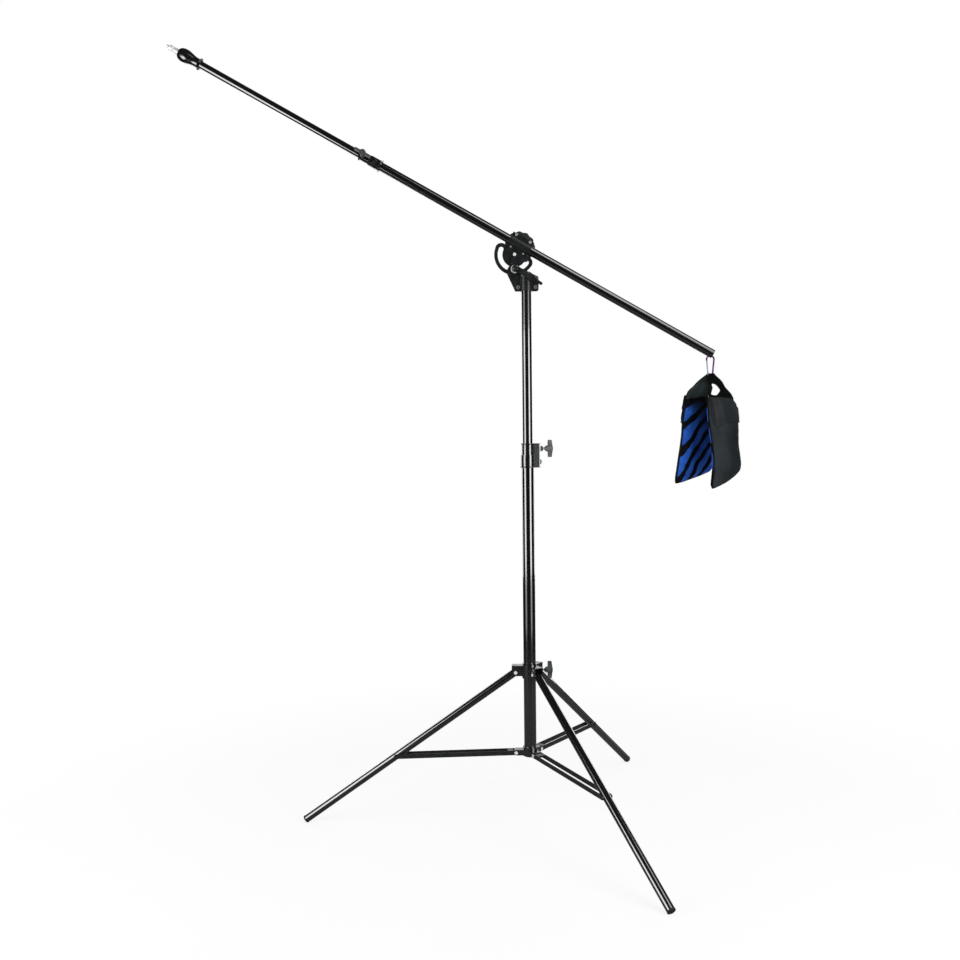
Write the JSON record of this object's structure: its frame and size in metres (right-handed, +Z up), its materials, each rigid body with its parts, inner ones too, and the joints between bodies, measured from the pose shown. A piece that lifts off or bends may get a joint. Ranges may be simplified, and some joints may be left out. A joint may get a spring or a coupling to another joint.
{
  "type": "overhead boom light stand",
  "caption": "Overhead boom arm on a folding tripod stand with telescopic column, tilting telescopic boom, end spigot and a hung counterweight saddlebag.",
  "frame": {"origin": "centre of the footprint of the whole part, on the floor", "axes": "+Z up; the boom lies in the XZ plane with its spigot towards -X and its bag towards +X; -Y faces the viewer"},
  "size_m": [1.6016, 1.1508, 2.2174],
  "materials": {
    "black_tube": "gloss",
    "black_metal": "satin",
    "bright_steel": "polished",
    "knob_plastic": "matt",
    "bush_plastic": "matt",
    "foot_rubber": "matt",
    "violet_metal": "anodised",
    "black_fabric": "woven",
    "blue_fabric": "woven, zebra print"
  },
  "bodies": {
    "column": {"lower_column_tube": "black_tube", "lower_hub": "black_metal", "column_collar": "black_metal", "column_collar_screw": "bright_steel", "lower_pin_left": "bright_steel", "lower_pin_front": "bright_steel", "lower_pin_rear": "bright_steel"},
    "column_knob": {"column_knob": "knob_plastic", "column_knob_screw": "bright_steel"},
    "tripod_slider": {"upper_hub": "black_metal", "upper_pin_left": "bright_steel", "upper_pin_front": "bright_steel", "upper_pin_rear": "bright_steel"},
    "tripod_knob": {"tripod_knob": "knob_plastic", "tripod_knob_screw": "bright_steel"},
    "leg_left": {"leg_tube_left": "black_tube", "foot_cap_left": "foot_rubber", "leg_bush_left": "bright_steel"},
    "brace_left": {"brace_left": "black_metal"},
    "leg_front": {"leg_tube_front": "black_tube", "foot_cap_front": "foot_rubber", "leg_bush_front": "bright_steel"},
    "brace_front": {"brace_front": "black_metal"},
    "leg_rear": {"leg_tube_rear": "black_tube", "foot_cap_rear": "foot_rubber", "leg_bush_rear": "bright_steel"},
    "brace_rear": {"brace_rear": "black_metal"},
    "mast_guide": {"mast_guide_bush": "bush_plastic"},
    "mast": {"mast_tube": "black_tube", "bracket_front_plate": "black_metal", "bracket_rear_plate": "black_metal", "bracket_bolt_left": "bright_steel", "bracket_bolt_right": "bright_steel", "bracket_bolt_high": "bright_steel", "pivot_bolt": "bright_steel", "lock_bolt": "bright_steel"},
    "lock_lever": {"lock_lever": "black_metal"},
    "boom_saddle": {"dial_plate": "black_metal", "boom_clamp_front": "black_metal", "boom_clamp_rear": "black_metal", "clamp_screw_front": "bright_steel", "clamp_screw_rear": "bright_steel", "dial_rivet_front": "bright_steel", "dial_rivet_rear": "bright_steel"},
    "clamp_knob": {"clamp_knob": "knob_plastic", "clamp_knob_screw": "bright_steel"},
    "boom_outer": {"boom_outer_tube": "black_tube", "boom_collar": "black_metal", "boom_collar_screw": "bright_steel"},
    "boom_knob": {"boom_knob": "knob_plastic", "boom_knob_screw": "bright_steel"},
    "boom_guide": {"boom_guide_bush": "bush_plastic"},
    "boom_inner": {"boom_inner_tube": "black_tube", "boom_head": "black_metal", "spigot": "bright_steel"},
    "carabiner": {"carabiner_frame": "violet_metal"},
    "carabiner_gate": {"carabiner_gate": "bright_steel"},
    "bag": {"bag_strap": "black_fabric", "bag_pouch_near": "black_fabric", "bag_pouch_far": "blue_fabric"}
  },
  "joints": [
    {"name": "tripod_fold", "type": "slide", "parent": "column", "child": "tripod_slider", "axis": [0, 0, 1], "range_m": [0, 0.53704]},
    {"name": "leg_left_fold", "type": "hinge", "parent": "tripod_slider", "child": "leg_left", "pos_m": [0.15337, 0.01652, 0.44295], "axis": [-0.0454, -0.999, 0], "range_deg": [-0.5, 51.26]},
    {"name": "brace_left_fold", "type": "hinge", "parent": "column", "child": "brace_left", "pos_m": [0.15337, 0.01652, 0.21032], "axis": [-0.0454, -0.999, 0], "range_deg": [-87.66, 0.5]},
    {"name": "leg_front_fold", "type": "hinge", "parent": "tripod_slider", "child": "leg_front", "pos_m": [0.21246, -0.02127, 0.44295], "axis": [0.8878, 0.4602, 0], "range_deg": [-0.5, 51.26]},
    {"name": "brace_front_fold", "type": "hinge", "parent": "column", "child": "brace_front", "pos_m": [0.21246, -0.02127, 0.21032], "axis": [0.8878, 0.4602, 0], "range_deg": [-87.66, 0.5]},
    {"name": "leg_rear_fold", "type": "hinge", "parent": "tripod_slider", "child": "leg_rear", "pos_m": [0.21565, 0.04881, 0.44295], "axis": [-0.8425, 0.5388, 0], "range_deg": [-0.5, 51.26]},
    {"name": "brace_rear_fold", "type": "hinge", "parent": "column", "child": "brace_rear", "pos_m": [0.21565, 0.04881, 0.21032], "axis": [-0.8425, 0.5388, 0], "range_deg": [-87.66, 0.5]},
    {"name": "tripod_knob_turn", "type": "hinge", "parent": "tripod_slider", "child": "tripod_knob", "pos_m": [0.23578, 0.01278, 0.44925], "axis": [0.999, -0.0454, 0], "continuous": true},
    {"name": "column_knob_turn", "type": "hinge", "parent": "column", "child": "column_knob", "pos_m": [0.24113, 0.01469, 1.08262], "axis": [1, 0, 0], "continuous": true},
    {"name": "mast_slide", "type": "slide", "parent": "column", "child": "mast_guide", "axis": [0, 0, 1], "range_m": [-0.4, 0.22]},
    {"name": "mast_turn", "type": "hinge", "parent": "mast_guide", "child": "mast", "pos_m": [0.19382, 0.01469, 1.56632], "axis": [0, 0, 1], "continuous": true},
    {"name": "boom_tilt", "type": "hinge", "parent": "mast", "child": "boom_saddle", "pos_m": [0.16132, 0.01469, 1.62732], "axis": [0, 1, 0], "range_deg": [-60, 22]},
    {"name": "lock_lever_turn", "type": "hinge", "parent": "mast", "child": "lock_lever", "pos_m": [0.16239, 0.01469, 1.58683], "axis": [0, 1, 0], "range_deg": [-40, 60]},
    {"name": "clamp_knob_turn", "type": "hinge", "parent": "boom_saddle", "child": "clamp_knob", "pos_m": [0.17675, 0.04648, 1.65421], "axis": [0, 1, 0], "continuous": true},
    {"name": "boom_slide", "type": "slide", "parent": "boom_saddle", "child": "boom_outer", "axis": [0.8675, 0, -0.4974], "range_m": [-0.34, 0.38]},
    {"name": "boom_knob_turn", "type": "hinge", "parent": "boom_outer", "child": "boom_knob", "pos_m": [-0.25466, -0.02312, 1.90159], "axis": [0, -1, 0], "continuous": true},
    {"name": "boom_extend", "type": "slide", "parent": "boom_outer", "child": "boom_guide", "axis": [-0.8675, 0, 0.4974], "range_m": [-0.48, 0.18]},
    {"name": "boom_twist", "type": "hinge", "parent": "boom_guide", "child": "boom_inner", "pos_m": [-0.0037, 0.01469, 1.75768], "axis": [-0.8675, 0, 0.4974], "continuous": true},
    {"name": "carabiner_swing", "type": "hinge", "parent": "boom_outer", "child": "carabiner", "pos_m": [0.71136, 0.01469, 1.33412], "axis": [0, 1, 0], "range_deg": [-22.5, 60.5]},
    {"name": "carabiner_gate_turn", "type": "hinge", "parent": "carabiner", "child": "carabiner_gate", "pos_m": [0.70515, 0.01469, 1.28523], "axis": [0, 1, 0], "range_deg": [0, 17], "stiffness_Nm_per_rad": 0.02},
    {"name": "bag_swing", "type": "hinge", "parent": "carabiner", "child": "bag", "pos_m": [0.71136, 0.01469, 1.27699], "axis": [1, 0, 0], "range_deg": [-20, 20]}
  ],
  "couplings": [
    {"joint": "leg_left_fold", "follows": "tripod_fold", "rad_per_m": 1.6496},
    {"joint": "brace_left_fold", "follows": "tripod_fold", "rad_per_m": -2.8327},
    {"joint": "leg_front_fold", "follows": "tripod_fold", "rad_per_m": 1.6496},
    {"joint": "brace_front_fold", "follows": "tripod_fold", "rad_per_m": -2.8327},
    {"joint": "leg_rear_fold", "follows": "tripod_fold", "rad_per_m": 1.6496},
    {"joint": "brace_rear_fold", "follows": "tripod_fold", "rad_per_m": -2.8327},
    {"joint": "carabiner_swing", "follows": "boom_tilt", "ratio": -1}
  ]
}
